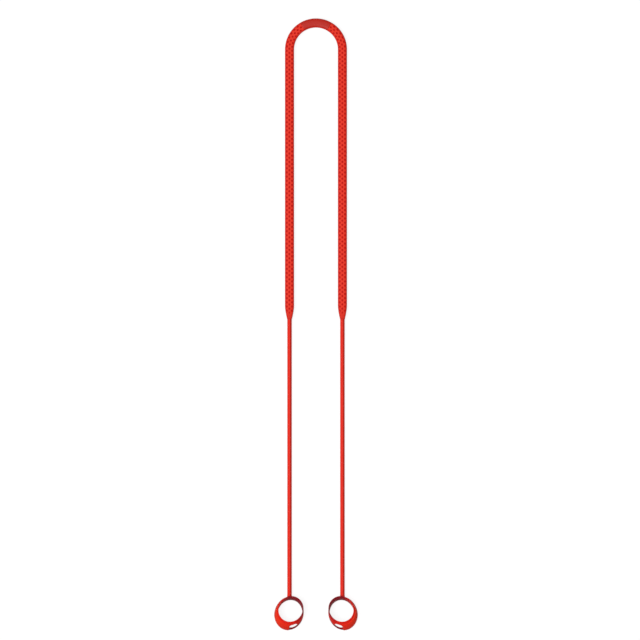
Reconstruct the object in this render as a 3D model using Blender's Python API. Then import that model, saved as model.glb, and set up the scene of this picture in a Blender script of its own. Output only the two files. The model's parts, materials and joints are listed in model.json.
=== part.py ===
"""Neck strap for a pair of wireless earbuds, lying flat on a surface.

A textured silicone sleeve bends once round the back of the neck. A thin core runs through it, and
a plain cord leaves each of its two tapered tips. On the end of each cord a short stem carries a
holder: a skewed, flared ring of silicone that grips the body of an earbud.

+X is to the right, +Y runs from the holders to the crown of the U, and +Z is up. The origin is on
the surface that the strap lies on, at the middle of the strap.
"""

import math

import bmesh
import bpy
from mathutils import Matrix, Vector

MM = 0.001

# The sleeve round the neck
BAND_WIDTH = 5.45 * MM
BAND_THICKNESS = 4.4 * MM
BAND_SQUARENESS = 2.5  # exponent of the superellipse: 2 is an ellipse, and more is flatter
LEG_SPACING = 31.4 * MM  # between the centrelines of the two arms
ARM_LENGTH = 160.2 * MM  # from the end of the crown's arc to the tip of the sleeve
TAPER_LENGTH = 7.9 * MM
TAPER_POWER = 1.5
TIP_STEP = 0.05 * MM  # how far the tip's mouth stands proud of the cord
HINGE_END_WALL = 0.3 * MM  # beside the core where an arm's rounded end is cut off flat

# The core inside the sleeve
CORE_STEP = 0.5 * MM  # how far the core's skin lies below the cord's, which leaves the tip a wall

# The smooth panel on the crown
PANEL_HALF_ANGLE = math.radians(32)
PANEL_WIDTH = 4.3 * MM
PANEL_THICKNESS = 0.4 * MM

# The cords and the stems at their ends
CORD_DIAMETER = 2.7 * MM
CORD_REST_LIFT = 0.02 * MM  # keeps the cord just off the surface that it lies along
STEM_LENGTH = 1.3 * MM
STEM_HEIGHT = 2.4 * MM

# The holders: a ring that is wide on the surface and narrow at the top
HOLDER_HEIGHT = 6.5 * MM
WIDE_WALL = 1.1 * MM
NARROW_WALL = 0.45 * MM
WIDE_BORE_ACROSS = 14.8 * MM
WIDE_BORE_ALONG = 16.7 * MM
NARROW_BORE_ACROSS = 13.9 * MM
NARROW_BORE_ALONG = 14.7 * MM
WIDE_OFFSET = -0.38 * MM  # the wide rim's centre from the cord's line, towards the other holder
NARROW_OFFSET = 0.7 * MM
NARROW_LEAN = 3.0 * MM  # how far the narrow rim's centre stands nearer the crown than the wide one's
BOSS_STEP = 0.2 * MM  # how far the boss stands proud of the stem
BOSS_LENGTH = 0.9 * MM
GRIP_RISE = 0.25 * MM  # the thicker skin on the holder's outer lower side
GRIP_START = math.radians(-88)
GRIP_END = math.radians(-212)
GRIP_FADE = math.radians(14)

# The window in the holder's lower side
WINDOW_LENGTH = 5.0 * MM
WINDOW_WIDTH = 3.5 * MM
WINDOW_ANGLE = math.radians(-72)
WINDOW_DEPTH_SHARE = 0.375  # from the narrow rim down to the wide one

CLEARANCE = 0.3 * MM

# Mesh fineness
BAND_SIDES = 20
ROUND_SIDES = 12
ARC_STEPS = 28
TAPER_STEPS = 6
KNUCKLE_STEPS = 4
HOLDER_SIDES = 48
HOLDER_LEVELS = 5
WINDOW_STEPS = 8
BOSS_SIDES = 16

# How the free cord lies: the distance from the sleeve's tip, and how much of the way it stands from
# the surface up to the tip's height, or in the second list up to the stem's height.
ROUTE_FROM_TIP = (
    (1.65, 1.0), (4.0, 1.0), (7.0, 0.97), (10.0, 0.87), (14.0, 0.69), (18.0, 0.49),
    (22.0, 0.3), (26.0, 0.15), (30.0, 0.05), (35.0, 0.0), (50.0, 0.0), (66.0, 0.0), (82.0, 0.0),
)
ROUTE_TO_STEM = (
    (98.0, 0.0), (112.0, 0.0), (124.0, 0.0), (132.0, 0.03), (137.0, 0.1), (142.0, 0.25),
    (147.0, 0.47), (151.0, 0.68), (155.0, 0.87), (158.3, 0.98), (161.2, 1.0),
)
CORD_POINT_SPACING = 6.5 * MM

crown_radius = LEG_SPACING / 2
cord_radius = CORD_DIAMETER / 2
core_radius = cord_radius - CORE_STEP
bore_radius = core_radius + CLEARANCE
band_height = BAND_THICKNESS / 2
cord_rest_height = cord_radius + CORD_REST_LIFT
knuckle_radius = BAND_WIDTH / 2
tip_radius = cord_radius + TIP_STEP
boss_radius = cord_radius + BOSS_STEP
cord_end_drop = ROUTE_TO_STEM[-1][0] * MM


def wall_share(depth_share):
    """How much of the flare is done at this share of the depth. The wall is upright at the wide rim."""
    return 1 - (1 - depth_share) ** 2


def bore_section(depth_share):
    """The holder's bore: its shifts towards the other holder and the crown, and its half-sizes."""
    done = wall_share(depth_share)
    inward = NARROW_OFFSET + (WIDE_OFFSET - NARROW_OFFSET) * done
    upward = NARROW_LEAN * (1 - done)
    across = (NARROW_BORE_ACROSS + (WIDE_BORE_ACROSS - NARROW_BORE_ACROSS) * done) / 2
    along = (NARROW_BORE_ALONG + (WIDE_BORE_ALONG - NARROW_BORE_ALONG) * done) / 2
    return inward, upward, across, along


def wall_thickness(depth_share):
    """The holder's wall grows thicker from the narrow rim to the wide one."""
    return NARROW_WALL + (WIDE_WALL - NARROW_WALL) * depth_share


# Down the strap, from the centre of the crown's arc: each piece hangs from the one before.
cord_pivot_drop = ARM_LENGTH + CLEARANCE + cord_radius
stem_top_drop = ARM_LENGTH + cord_end_drop + CLEARANCE
tilt_pivot_drop = stem_top_drop + STEM_LENGTH
boss_face_drop = tilt_pivot_drop + cord_radius + CLEARANCE
stem_share = 1 - STEM_HEIGHT / HOLDER_HEIGHT
_, stem_upward, _, stem_along = bore_section(stem_share)
wide_centre_drop = boss_face_drop + BOSS_LENGTH + wall_thickness(stem_share) + stem_along + stem_upward
top_edge = crown_radius + BAND_WIDTH / 2
bottom_edge = wide_centre_drop + WIDE_BORE_ALONG / 2 + WIDE_WALL + GRIP_RISE
crown_y = (bottom_edge - top_edge) / 2


def material(name, red, green, blue, roughness):
    made = bpy.data.materials.new(name)
    made.use_nodes = True
    shader = made.node_tree.nodes["Principled BSDF"]
    shader.inputs["Base Color"].default_value = (red, green, blue, 1)
    shader.inputs["Roughness"].default_value = roughness
    shader.inputs["Metallic"].default_value = 0
    return made


def place_of(thing):
    """Where an unturned object stands, through its parents."""
    place = Vector((0, 0, 0))
    while thing:
        place += thing.location
        thing = thing.parent
    return place


def pivot(name, place, parent):
    """An empty on a joint's axis. What turns on that joint hangs from it."""
    made = bpy.data.objects.new(name, None)
    made.empty_display_size = knuckle_radius
    made.parent = parent
    made.location = place - place_of(parent)
    bpy.context.scene.collection.objects.link(made)
    return made


def add(name, mesh, look, parent=None):
    """A named object for this mesh, shaded smooth but for its sharp edges, with its origin on its parent."""
    mesh.materials.append(look)
    mesh.transform(Matrix.Translation(-place_of(parent)))
    mesh.shade_smooth()
    mesh.set_sharp_from_angle(angle=math.radians(35))
    made = bpy.data.objects.new(name, mesh)
    made.parent = parent
    bpy.context.scene.collection.objects.link(made)
    return made


def mesh_of(name, build):
    """A mesh filled by build(bm), with its faces turned outwards."""
    bm = bmesh.new()
    build(bm)
    bmesh.ops.recalc_face_normals(bm, faces=bm.faces)
    mesh = bpy.data.meshes.new(name)
    bm.to_mesh(mesh)
    bm.free()
    return mesh


def hide_cutter(cutter):
    cutter.hide_render = True
    cutter.display_type = "WIRE"


def cut(target, cutter):
    modifier = target.modifiers.new("cut", "BOOLEAN")
    modifier.operation = "DIFFERENCE"
    modifier.solver = "EXACT"
    modifier.object = cutter


def join(target, other):
    modifier = target.modifiers.new("join", "BOOLEAN")
    modifier.operation = "UNION"
    modifier.solver = "EXACT"
    modifier.object = other


def signed_power(value, power):
    return math.copysign(abs(value) ** power, value)


def ring(bm, centre, side, half_width, half_height, squareness, sides):
    """A closed ring of vertices in the plane of side and +Z: an ellipse, or a squarer superellipse."""
    corners = []
    for i in range(sides):
        angle = 2 * math.pi * i / sides
        across = half_width * signed_power(math.cos(angle), 2 / squareness)
        upward = half_height * signed_power(math.sin(angle), 2 / squareness)
        corners.append(bm.verts.new(centre + side * across + Vector((0, 0, upward))))
    return corners


def skin(bm, rings):
    """Faces between each ring and the next."""
    for first, second in zip(rings, rings[1:]):
        count = len(first)
        for i in range(count):
            j = (i + 1) % count
            bm.faces.new((first[i], first[j], second[j], second[i]))


def tube(name, outer, bore):
    """A tube, open at both ends, from two lists of (centre, side, half width, half height, squareness)."""

    def build(bm):
        outer_rings = [ring(bm, *section, BAND_SIDES) for section in outer]
        bore_rings = [ring(bm, *section, BAND_SIDES) for section in bore]
        skin(bm, outer_rings)
        skin(bm, bore_rings)
        skin(bm, [outer_rings[0], bore_rings[0]])
        skin(bm, [outer_rings[-1], bore_rings[-1]])

    return mesh_of(name, build)


def rod(name, sections):
    """A solid round rod through a list of (centre, side, radius)."""

    def build(bm):
        rings = [ring(bm, centre, side, radius, radius, 2, ROUND_SIDES) for centre, side, radius in sections]
        skin(bm, rings)
        bm.faces.new(rings[0])
        bm.faces.new(rings[-1])

    return mesh_of(name, build)


def arc_frame(angle, height):
    """(centre, side) on the crown's arc. The angle is 0 at the right arm and a half turn at the left one."""
    outward = Vector((math.cos(angle), math.sin(angle), 0))
    return Vector((0, crown_y, height)) + outward * crown_radius, outward


def arc_angles(start, end, steps):
    return [start + (end - start) * i / steps for i in range(steps + 1)]


def knuckle_cutter(side):
    """Clears the turning room of an arm's rounded end out of the end of the crown."""

    def build(bm):
        bmesh.ops.create_cone(
            bm,
            cap_ends=True,
            segments=2 * BAND_SIDES,
            radius1=knuckle_radius + CLEARANCE,
            radius2=knuckle_radius + CLEARANCE,
            depth=3 * BAND_THICKNESS,
        )

    cutter = add("knuckle_cutter", mesh_of("knuckle_cutter", build), textured)
    cutter.location = (side * crown_radius, crown_y, band_height)
    hide_cutter(cutter)
    return cutter


def panel_solid(name, half_angle, half_width, lower, upper):
    """A plate along the crown's arc, between two heights above the sleeve's own surface."""
    steps = 6
    stations = [half_width * (2 * i / steps - 1) for i in range(steps + 1)]
    profile = [(across, band_top(across) + lower) for across in stations]
    profile += [(across, band_top(across) + upper) for across in reversed(stations)]

    def build(bm):
        rings = []
        for angle in arc_angles(math.pi / 2 - half_angle, math.pi / 2 + half_angle, ARC_STEPS // 2):
            centre, outward = arc_frame(angle, 0)
            rings.append([bm.verts.new(centre + outward * x + Vector((0, 0, z))) for x, z in profile])
        skin(bm, rings)
        bm.faces.new(rings[0])
        bm.faces.new(rings[-1])

    return mesh_of(name, build)


def band_top(across):
    """Height of the sleeve's upper surface at this distance from its centreline."""
    share = abs(2 * across / BAND_WIDTH) ** BAND_SQUARENESS
    return band_height + band_height * (1 - share) ** (1 / BAND_SQUARENESS)


def make_crown():
    """The arc of the sleeve, the core in it and the smooth panel on it."""
    half_width = BAND_WIDTH / 2
    angles = arc_angles(0, math.pi, ARC_STEPS)
    outer = [(*arc_frame(a, band_height), half_width, band_height, BAND_SQUARENESS) for a in angles]
    bore = [(*arc_frame(a, band_height), bore_radius, bore_radius, 2) for a in angles]
    sleeve = add("sleeve_crown", tube("sleeve_crown", outer, bore), textured)
    core_line = [(*arc_frame(a, band_height), core_radius) for a in angles]
    core = add("core_crown", rod("core_crown", core_line), plain)
    for side in (-1, 1):
        cutter = knuckle_cutter(side)
        cut(sleeve, cutter)
        cut(core, cutter)

    pocket_half_angle = PANEL_HALF_ANGLE + CLEARANCE / crown_radius
    pocket_half_width = PANEL_WIDTH / 2 + CLEARANCE
    floor = -PANEL_THICKNESS - CLEARANCE
    pocket = panel_solid("pocket_cutter", pocket_half_angle, pocket_half_width, floor, BAND_THICKNESS)
    pocket = add("pocket_cutter", pocket, smooth)
    hide_cutter(pocket)
    cut(sleeve, pocket)
    panel = panel_solid("crown_panel", PANEL_HALF_ANGLE, PANEL_WIDTH / 2, -PANEL_THICKNESS, 0)
    add("crown_panel", panel, smooth)


def make_arm(side, name):
    """The straight part of the sleeve, with a rounded end that turns against the crown, and its core."""
    x = side * crown_radius
    across = Vector((1, 0, 0))
    half_width = BAND_WIDTH / 2

    def section(y, half_across, half_up):
        return Vector((x, crown_y + y, band_height)), across, half_across, half_up, BAND_SQUARENESS

    # Seen from above, the end is a half round about the hinge, cut off where the bore needs its wall.
    end_half_width = bore_radius + HINGE_END_WALL
    end_angle = math.acos(end_half_width / knuckle_radius)
    outer = []
    for i in range(KNUCKLE_STEPS + 1):
        angle = end_angle * (1 - i / KNUCKLE_STEPS)
        outer.append(section(knuckle_radius * math.sin(angle), knuckle_radius * math.cos(angle), band_height))
    for i in range(TAPER_STEPS + 1):
        share = i / TAPER_STEPS
        left = 1 - share**TAPER_POWER
        half_across = tip_radius + (half_width - tip_radius) * left
        half_up = tip_radius + (band_height - tip_radius) * left
        squareness = 2 + (BAND_SQUARENESS - 2) * left
        centre = Vector((x, crown_y - ARM_LENGTH + TAPER_LENGTH * (1 - share), band_height))
        outer.append((centre, across, half_across, half_up, squareness))

    bore = [
        (Vector((x, crown_y + y, band_height)), across, bore_radius, bore_radius, 2)
        for y in (knuckle_radius * math.sin(end_angle), -ARM_LENGTH)
    ]
    hinge = pivot(f"hinge_{name}", section(0, 0, 0)[0], None)
    add(f"sleeve_{name}", tube(f"sleeve_{name}", outer, bore), textured, hinge)

    core_top = math.sqrt(knuckle_radius**2 - core_radius**2) - CLEARANCE
    core = [
        (Vector((x, crown_y + y, band_height)), across, core_radius)
        for y in (core_top, -ARM_LENGTH)
    ]
    add(f"core_{name}", rod(f"core_{name}", core), plain, hinge)
    return hinge


def cord_route(side):
    """The points chosen for this side's cord, from its pivot at the sleeve's tip to the stem."""
    x = side * crown_radius
    points = []
    for drop, share in ROUTE_FROM_TIP:
        height = cord_rest_height + share * (band_height - cord_rest_height)
        points.append(Vector((x, crown_y - ARM_LENGTH - drop * MM, height)))
    for drop, share in ROUTE_TO_STEM:
        height = cord_rest_height + share * (STEM_HEIGHT - cord_rest_height)
        points.append(Vector((x, crown_y - ARM_LENGTH - drop * MM, height)))
    return points


def smooth_curve(points, spacing):
    """Points about this far apart on a Catmull-Rom curve through the given ones."""
    padded = [points[0] * 2 - points[1], *points, points[-1] * 2 - points[-2]]
    fine = []
    per_span = 12
    for a, b, c, d in zip(padded, padded[1:], padded[2:], padded[3:]):
        slope = (c - a) / 2
        bend = a - 2.5 * b + 2 * c - d / 2
        twist = (3 * b - a - 3 * c + d) / 2
        for i in range(per_span):
            t = i / per_span
            fine.append(b + slope * t + bend * t**2 + twist * t**3)
    fine.append(points[-1])
    total = sum((q - p).length for p, q in zip(fine, fine[1:]))
    step = total / round(total / spacing)
    kept, walked, due = [fine[0]], 0.0, step
    for p, q in zip(fine, fine[1:]):
        length = (q - p).length
        while walked + length >= due and due < total - step / 2:
            kept.append(p.lerp(q, (due - walked) / length))
            due += step
        walked += length
    kept.append(fine[-1])
    return kept


def make_cord(side, name, arm):
    """The free cord. Its upper end is a half ball about its pivot, so that it can fold at the tip."""
    points = smooth_curve(cord_route(side), CORD_POINT_SPACING)
    fold = pivot(f"fold_{name}", points[0], arm)
    rounded = []
    for degrees in (25, 50, 75):
        angle = math.radians(degrees)
        rounded.append((points[0] + Vector((0, cord_radius * math.cos(angle), 0)), math.sin(angle)))
    line = rounded + [(point, 1.0) for point in points]

    curve = bpy.data.curves.new(f"cord_{name}", "CURVE")
    curve.dimensions = "3D"
    curve.bevel_depth = cord_radius
    curve.bevel_resolution = 2
    curve.use_fill_caps = True
    spline = curve.splines.new("POLY")
    spline.points.add(len(line) - 1)
    for target, (place, radius) in zip(spline.points, line):
        target.co = (*(place - points[0]), 1)
        target.radius = radius
    curve.materials.append(plain)
    cord = bpy.data.objects.new(f"cord_{name}", curve)
    cord.parent = fold
    bpy.context.scene.collection.objects.link(cord)
    return fold


def make_stem(side, name, cord):
    """The short moulded stem that the holder twists and tilts on: a rod with a half ball at its end."""
    across = Vector((1, 0, 0))
    top = Vector((side * crown_radius, crown_y - stem_top_drop, STEM_HEIGHT))
    ball = top - Vector((0, STEM_LENGTH, 0))
    sections = [(top, across, cord_radius)]
    for degrees in (90, 68, 45, 22):
        angle = math.radians(degrees)
        below = Vector((0, cord_radius * math.cos(angle), 0))
        sections.append((ball - below, across, cord_radius * math.sin(angle)))
    twist = pivot(f"twist_{name}", top, cord)
    add(f"stem_{name}", rod(f"stem_{name}", sections), plain, twist)
    return pivot(f"tilt_{name}", ball, twist)


def holder_place(side, inward, upward, height):
    """A point of a holder, from its distances off the cord's line and the wide rim's centre."""
    return Vector((side * (crown_radius - inward), crown_y - wide_centre_drop + upward, height))


def grip_rise(angle):
    """Extra skin on the holder's outer lower side: it starts at a step and fades away up the side."""
    if not GRIP_END < angle < GRIP_START:
        return 0.0
    return GRIP_RISE * min(1, (angle - GRIP_END) / GRIP_FADE)


def wall_point(side, angle, depth_share, thickness):
    """A point on the holder's wall, this far out from its bore."""
    inward, upward, across, along = bore_section(depth_share)
    x = inward + (across + thickness) * math.cos(angle)
    y = upward + (along + thickness) * math.sin(angle)
    return holder_place(side, x, y, HOLDER_HEIGHT * (1 - depth_share))


def holder_ring(side):
    def build(bm):
        step = math.radians(0.7)
        angles = [math.radians(90) - 2 * math.pi * i / HOLDER_SIDES for i in range(HOLDER_SIDES)]
        angles = [a for a in angles if abs(a - GRIP_START) > 2 * step]
        angles = sorted([*angles, GRIP_START, GRIP_START - step], reverse=True)
        shares = [i / HOLDER_LEVELS for i in range(HOLDER_LEVELS + 1)]
        outer = [
            [bm.verts.new(wall_point(side, a, s, wall_thickness(s) + grip_rise(a) * s)) for a in angles]
            for s in shares
        ]
        inner = [[bm.verts.new(wall_point(side, a, s, 0)) for a in angles] for s in shares]
        skin(bm, outer)
        skin(bm, inner)
        skin(bm, [outer[0], inner[0]])
        skin(bm, [outer[-1], inner[-1]])

    return mesh_of("holder", build)


def window_cutter(side):
    """A slot with round ends, square to the wall where it is cut."""
    step = 0.01
    centre = wall_point(side, WINDOW_ANGLE, WINDOW_DEPTH_SHARE, WIDE_WALL / 2)
    along = wall_point(side, WINDOW_ANGLE + step, WINDOW_DEPTH_SHARE, WIDE_WALL / 2) - centre
    down = wall_point(side, WINDOW_ANGLE, WINDOW_DEPTH_SHARE + step, WIDE_WALL / 2) - centre
    along.normalize()
    outward = along.cross(down).normalized()
    across = outward.cross(along)
    radius = WINDOW_WIDTH / 2
    straight = WINDOW_LENGTH / 2 - radius
    outline = []
    for end in (1, -1):
        for i in range(WINDOW_STEPS + 1):
            angle = math.pi * (i / WINDOW_STEPS - 0.5)
            outline.append((end * (straight + radius * math.cos(angle)), end * radius * math.sin(angle)))
    reach = 3 * WIDE_WALL

    def build(bm):
        rings = [
            [bm.verts.new(centre + along * a + across * b + outward * depth) for a, b in outline]
            for depth in (-reach, reach)
        ]
        skin(bm, rings)
        bm.faces.new(rings[0])
        bm.faces.new(rings[1])

    cutter = add("window_cutter", mesh_of("window_cutter", build), plain)
    hide_cutter(cutter)
    return cutter


def boss_solid(side):
    """The round boss that the stem's half ball turns against. It starts inside the holder's wall."""
    across = Vector((1, 0, 0))
    face = Vector((side * crown_radius, crown_y - boss_face_drop, STEM_HEIGHT))
    root = face - Vector((0, BOSS_LENGTH + wall_thickness(stem_share) / 2, 0))

    def build(bm):
        rings = [
            ring(bm, place, across, radius, radius, 2, BOSS_SIDES)
            for place, radius in ((face, boss_radius), (root, boss_radius))
        ]
        skin(bm, rings)
        bm.faces.new(rings[0])
        bm.faces.new(rings[1])

    boss = add("boss", mesh_of("boss", build), plain)
    hide_cutter(boss)
    return boss


def make_holder(side, name, tilt):
    holder = add(f"holder_{name}", holder_ring(side), plain, tilt)
    join(holder, boss_solid(side))
    cut(holder, window_cutter(side))


for leftover in list(bpy.data.objects):
    bpy.data.objects.remove(leftover)

textured = material("textured_silicone", 0.68, 0.035, 0.02, 0.55)
plain = material("plain_silicone", 0.72, 0.03, 0.018, 0.42)
smooth = material("smooth_silicone", 0.5, 0.022, 0.014, 0.35)

make_crown()
for side, name in ((-1, "left"), (1, "right")):
    arm = make_arm(side, name)
    cord = make_cord(side, name, arm)
    tilt = make_stem(side, name, cord)
    make_holder(side, name, tilt)
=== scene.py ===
# %% [markdown]
# # A neck strap for a pair of wireless earbuds
#
# The strap is one slim line of red silicone rubber. A dimpled sleeve bends round the back of the
# neck, a plain cord leaves each of its two tapered ends, and each cord carries a small skewed ring
# that grips one earbud. It lies flat on a white surface.
#
# The looks are built on a finished mechanical model. The finished looks may not grow past it.

import json
import math

import bmesh
import bpy
from mathutils import Matrix, Vector
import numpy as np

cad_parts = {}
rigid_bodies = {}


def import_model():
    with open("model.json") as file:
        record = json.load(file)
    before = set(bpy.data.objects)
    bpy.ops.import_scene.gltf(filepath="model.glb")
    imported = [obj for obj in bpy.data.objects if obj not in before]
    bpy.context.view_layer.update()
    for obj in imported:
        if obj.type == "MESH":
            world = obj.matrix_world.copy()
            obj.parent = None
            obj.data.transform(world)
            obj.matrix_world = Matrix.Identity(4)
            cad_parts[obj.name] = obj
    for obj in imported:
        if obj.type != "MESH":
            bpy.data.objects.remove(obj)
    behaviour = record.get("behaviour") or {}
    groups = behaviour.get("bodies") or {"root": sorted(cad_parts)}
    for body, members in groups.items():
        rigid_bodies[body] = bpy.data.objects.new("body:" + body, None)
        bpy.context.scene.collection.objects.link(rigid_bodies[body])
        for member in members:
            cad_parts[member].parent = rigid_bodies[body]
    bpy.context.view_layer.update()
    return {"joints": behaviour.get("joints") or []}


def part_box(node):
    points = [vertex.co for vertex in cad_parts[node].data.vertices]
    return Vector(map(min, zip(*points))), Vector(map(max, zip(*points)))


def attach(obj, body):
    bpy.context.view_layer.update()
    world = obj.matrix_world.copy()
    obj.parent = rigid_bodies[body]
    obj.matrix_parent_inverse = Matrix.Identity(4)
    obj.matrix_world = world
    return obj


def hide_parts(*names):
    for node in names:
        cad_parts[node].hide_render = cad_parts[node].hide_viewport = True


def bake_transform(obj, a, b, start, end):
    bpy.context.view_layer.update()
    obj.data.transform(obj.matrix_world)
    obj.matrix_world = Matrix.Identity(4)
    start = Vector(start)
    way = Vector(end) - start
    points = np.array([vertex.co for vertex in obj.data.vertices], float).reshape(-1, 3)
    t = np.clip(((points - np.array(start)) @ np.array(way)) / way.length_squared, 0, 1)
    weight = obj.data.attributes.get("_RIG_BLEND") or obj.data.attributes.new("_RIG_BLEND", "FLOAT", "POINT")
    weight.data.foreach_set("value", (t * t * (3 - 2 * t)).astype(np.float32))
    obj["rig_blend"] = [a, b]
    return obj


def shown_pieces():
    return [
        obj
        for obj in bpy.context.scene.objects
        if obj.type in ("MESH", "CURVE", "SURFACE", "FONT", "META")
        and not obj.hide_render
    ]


for leftover in list(bpy.data.objects):
    bpy.data.objects.remove(leftover)

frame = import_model()
MM = 0.001
TINY = 1e-6

# %% [markdown]
# ## The camera
#
# The camera hangs far above the strap and has a long lens, so that every part is seen from straight
# above and nothing leans. A Blender camera with no turn looks straight down, so it only needs a
# place. Its height follows from the lens and from how much of the surface has to fit in the view.

# %% Place the camera
LENS, SENSOR_WIDTH = 200.0, 36.0
NEAREST, FURTHEST = 0.1, 10.0
FRAMED_WIDTH = 380.2 * MM  # how much of the surface the square view shows
FRAME_CENTRE = Vector((2.38 * MM, 2.6 * MM, 0))

bpy.ops.object.camera_add(rotation=(0, 0, 0))
camera = bpy.context.active_object
camera.name = "overhead_camera"
camera.data.lens = LENS
camera.data.sensor_width = SENSOR_WIDTH
camera_height = FRAMED_WIDTH * LENS / SENSOR_WIDTH
camera.location = FRAME_CENTRE + Vector((0, 0, camera_height))
camera.data.clip_start, camera.data.clip_end = NEAREST, FURTHEST
bpy.context.scene.camera = camera
print("camera height, m:", round(camera_height, 3))

# %% [markdown]
# ## Small helpers
#
# The operators of edit mode act on whatever is selected, so a piece is opened alone, and its
# vertices, edges or faces are then selected by where they are. `choose` takes a test for that.

# %% Helpers for selecting
def named(name):
    """Names the object that was just added, and puts its place and turn into its mesh."""
    thing = bpy.context.active_object
    thing.name = thing.data.name = name
    bpy.ops.object.transform_apply(location=True, rotation=True, scale=True)
    return thing


def alone():
    """Leaves edit mode and deselects everything, the model's own parts too."""
    if bpy.context.mode != "OBJECT":
        bpy.ops.object.mode_set(mode="OBJECT")
    bpy.ops.object.select_all(action="DESELECT")


def pick(*things):
    """Selects these objects and no others. The first is the active one."""
    alone()
    for thing in things:
        thing.select_set(True)
    bpy.context.view_layer.objects.active = things[0]


def edit(thing):
    pick(thing)
    bpy.ops.object.mode_set(mode="EDIT")
    bpy.ops.mesh.select_all(action="DESELECT")


def choose(kind, test):
    """In edit mode, selects the vertices, edges or faces that pass a test, and no others."""
    bpy.ops.mesh.select_mode(type=kind)
    bpy.ops.mesh.select_all(action="DESELECT")
    mesh = bpy.context.edit_object.data
    shape = bmesh.from_edit_mesh(mesh)
    found = 0
    for part in {"VERT": shape.verts, "EDGE": shape.edges, "FACE": shape.faces}[kind]:
        if test(part):
            part.select_set(True)
            found += 1
    shape.select_flush_mode()
    bmesh.update_edit_mesh(mesh)
    return found


def every(part):
    return True


# %% [markdown]
# The next ones move, turn and extrude what is selected, or apply a modifier, shade or copy a whole
# piece. Most are one operator, under a name that says what it is for.

# %% Helpers for shaping
def slide(x=0.0, y=0.0, z=0.0):
    bpy.ops.transform.translate(value=(x, y, z))


def scale_about(centre, x=1.0, y=1.0, z=1.0):
    bpy.ops.transform.resize(value=(x, y, z), center_override=tuple(centre))


def turn_about(centre, angle, axis="Z"):
    bpy.ops.transform.rotate(value=angle, orient_axis=axis, center_override=tuple(centre))


def extrude_loop(x=0.0, y=0.0, z=0.0):
    """Pulls a new row of faces out of the selected open edges."""
    bpy.ops.mesh.extrude_edges_move(TRANSFORM_OT_translate={"value": (x, y, z)})


def face_outwards():
    """In edit mode, points every face outwards."""
    choose("FACE", every)
    bpy.ops.mesh.normals_make_consistent(inside=False)


def modify(thing, kind, **settings):
    """Adds a modifier, sets it and applies it."""
    pick(thing)
    modifier = thing.modifiers.new(kind.lower(), kind)
    for setting, value in settings.items():
        setattr(modifier, setting, value)
    bpy.ops.object.modifier_apply(modifier=modifier.name)


def smooth(thing, degrees=40):
    """Shades a piece smooth, but for the edges that are sharper than this."""
    pick(thing)
    bpy.ops.object.shade_smooth_by_angle(angle=math.radians(degrees))


def faces_of(thing):
    return f"{thing.name}: {len(thing.data.polygons)} faces"


def placed(name, data):
    """A new object in the scene that shows this mesh or curve."""
    made = bpy.data.objects.new(name, data)
    made.data.name = name
    bpy.context.scene.collection.objects.link(made)
    return made


def own_copy(thing, name):
    """A copy of a piece with its own mesh."""
    return placed(name, thing.data.copy())


# %% [markdown]
# ## The measures of the strap
#
# All places come from the loaded model: its joints say where the crown's arc starts and where a
# ring twists and tilts, and the boxes of its parts give the thicknesses. `side` is -1 for the left
# of the strap and 1 for the right.

# %% Read the measures from the model
def half_sizes(node):
    low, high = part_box(node)
    return [(b - a) / 2 for a, b in zip(low, high)]


hinges = {joint["name"]: joint["pos_m"] for joint in frame["joints"]}
half_spacing, crown_y, band_z = hinges["right_arm_spread"]
twist_y = hinges["right_holder_twist"][1]
tilt_y, stem_z = hinges["right_holder_tilt"][1:]
band_half_width, _, band_half_height = half_sizes("sleeve_right")
cord_radius, core_radius = half_sizes("cord_right")[0], half_sizes("core_right")[0]
tip_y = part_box("sleeve_right")[0].y
arm_length = crown_y - tip_y
half_length = arm_length + math.pi / 2 * half_spacing
SIDES = (("left", -1), ("right", 1))
print("arm, mm:", round(arm_length / MM, 1), " from tip to crown, mm:", round(half_length / MM, 1))

# %% [markdown]
# ## The two cords
#
# Each cord is a slim line of silicone that leaves the sleeve's tip, sinks to the surface under its
# own weight, lies along it, and rises a little to the ring's neck. Cords come first, because their
# length decides how much room the strap needs.
#
# The route repeats the one that the mechanical model follows. It starts a little way inside the
# sleeve, so that no end shows.

# %% The cord's route
ROUTE_FROM_TIP = (  # metres below the tip, and how much of the tip's height is left
    (0.00165, 1.0), (0.0040, 1.0), (0.0070, 0.97), (0.0100, 0.87), (0.0140, 0.69), (0.0180, 0.49),
    (0.0220, 0.3), (0.0260, 0.15), (0.0300, 0.05), (0.0350, 0.0), (0.0500, 0.0), (0.0660, 0.0),
    (0.0820, 0.0),
)
ROUTE_TO_NECK = (  # metres below the tip, and how much of the neck's height is reached
    (0.0980, 0.0), (0.1120, 0.0), (0.1240, 0.0), (0.1320, 0.03), (0.1370, 0.1), (0.1420, 0.25),
    (0.1470, 0.47), (0.1510, 0.68), (0.1550, 0.87), (0.1583, 0.98), (0.1612, 1.0),
)
ROUTE_INSIDE = (1.0, 0.66, 0.33, 0.0)  # shares of how far it reaches into the sleeve
REST_LIFT = 0.02 * MM
CORD_INSIDE = 4.0 * MM  # how far the cord reaches into the sleeve
CORD_JOINT_GAP = 0.01 * MM  # on each side of the seam between the cord and the neck
cord_rest_z = cord_radius + REST_LIFT


def cord_route(side):
    x = side * half_spacing
    route = [Vector((x, tip_y + CORD_INSIDE * share, band_z)) for share in ROUTE_INSIDE]
    for drop, share in ROUTE_FROM_TIP:
        route.append(Vector((x, tip_y - drop, cord_rest_z + share * (band_z - cord_rest_z))))
    for drop, share in ROUTE_TO_NECK:
        route.append(Vector((x, tip_y - drop, cord_rest_z + share * (stem_z - cord_rest_z))))
    route.append(Vector((x, twist_y + CORD_JOINT_GAP, stem_z)))
    return route


print("given points of a route:", len(cord_route(1)))


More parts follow.
